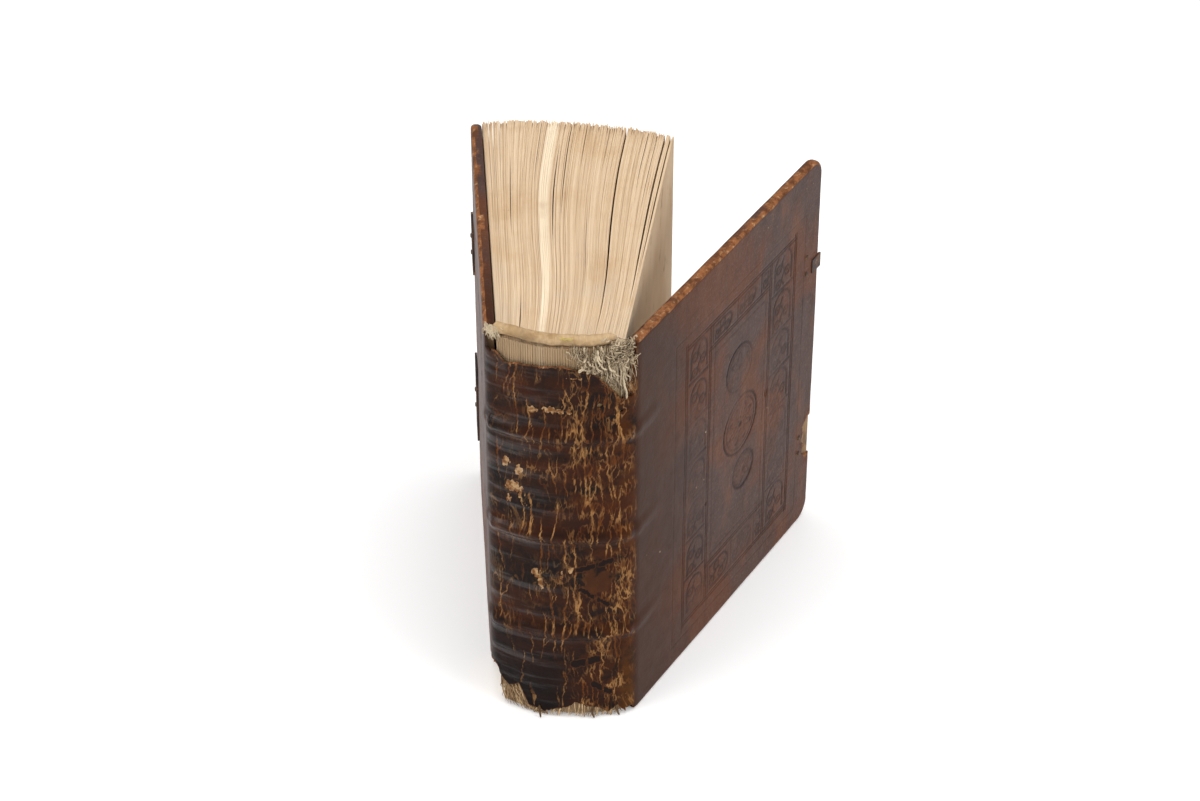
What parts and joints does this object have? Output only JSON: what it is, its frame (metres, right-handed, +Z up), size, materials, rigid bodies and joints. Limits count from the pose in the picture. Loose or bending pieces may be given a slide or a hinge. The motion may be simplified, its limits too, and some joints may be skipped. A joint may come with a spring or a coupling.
{
  "type": "antique book",
  "caption": "Old leather book standing on its tail, with wooden boards, a worn rounded spine with raised bands, and covers that swing open at the joints beside the spine.",
  "frame": {"origin": "under the middle of the bounding box of the standing book, on the surface it stands on", "axes": "+X from the back cover to the front cover, +Y from the spine to the fore edge, +Z up from tail to head"},
  "size_m": [0.1586, 0.1786, 0.2042],
  "materials": {
    "cover_leather": "worn satin",
    "spine_leather": "dry, cracked",
    "board_wood": "dry, unfinished",
    "peg_wood": "dry, unfinished",
    "leaf_paper": "matt, aged",
    "pasted_paper": "matt, aged",
    "cord": "twisted, matt",
    "spine_lining": "parchment, matt",
    "headband": "rolled, matt",
    "threads": "frayed, matt",
    "strap_leather": "worn satin",
    "nail_metal": "dull, tarnished"
  },
  "bodies": {
    "block": {"spine_leather": "spine_leather", "sewing_cords_tail": "cord", "sewing_cords_middle": "cord", "sewing_cords_head": "cord", "spine_linings": "spine_lining", "headband_core": "headband", "headband_fringe": "threads", "tail_fringe": "threads", "text_block": "leaf_paper"},
    "front_cover": {"front_board": "board_wood", "front_leather": "cover_leather", "front_pastedown": "pasted_paper", "front_laced_cord_tail": "cord", "front_laced_cord_middle": "cord", "front_laced_cord_head": "cord", "front_board_pegs": "peg_wood", "front_clasp_nails": "nail_metal", "front_strap_scrap": "strap_leather"},
    "back_cover": {"back_board": "board_wood", "back_leather": "cover_leather", "back_pastedown": "pasted_paper", "back_laced_cord_tail": "cord", "back_laced_cord_middle": "cord", "back_laced_cord_head": "cord", "back_board_pegs": "peg_wood", "back_strap_end_upper": "strap_leather", "back_strap_end_lower": "strap_leather", "back_clasp_nails": "nail_metal"}
  },
  "joints": [
    {"name": "front_cover_hinge", "type": "hinge", "parent": "block", "child": "front_cover", "pos_m": [0.00122, -0.08115, 0], "axis": [0, 0, -1], "range_deg": [-21.9, 145]},
    {"name": "back_cover_hinge", "type": "hinge", "parent": "block", "child": "back_cover", "pos_m": [-0.06138, -0.07501, 0], "axis": [0, 0, 1], "range_deg": [0, 165]}
  ]
}
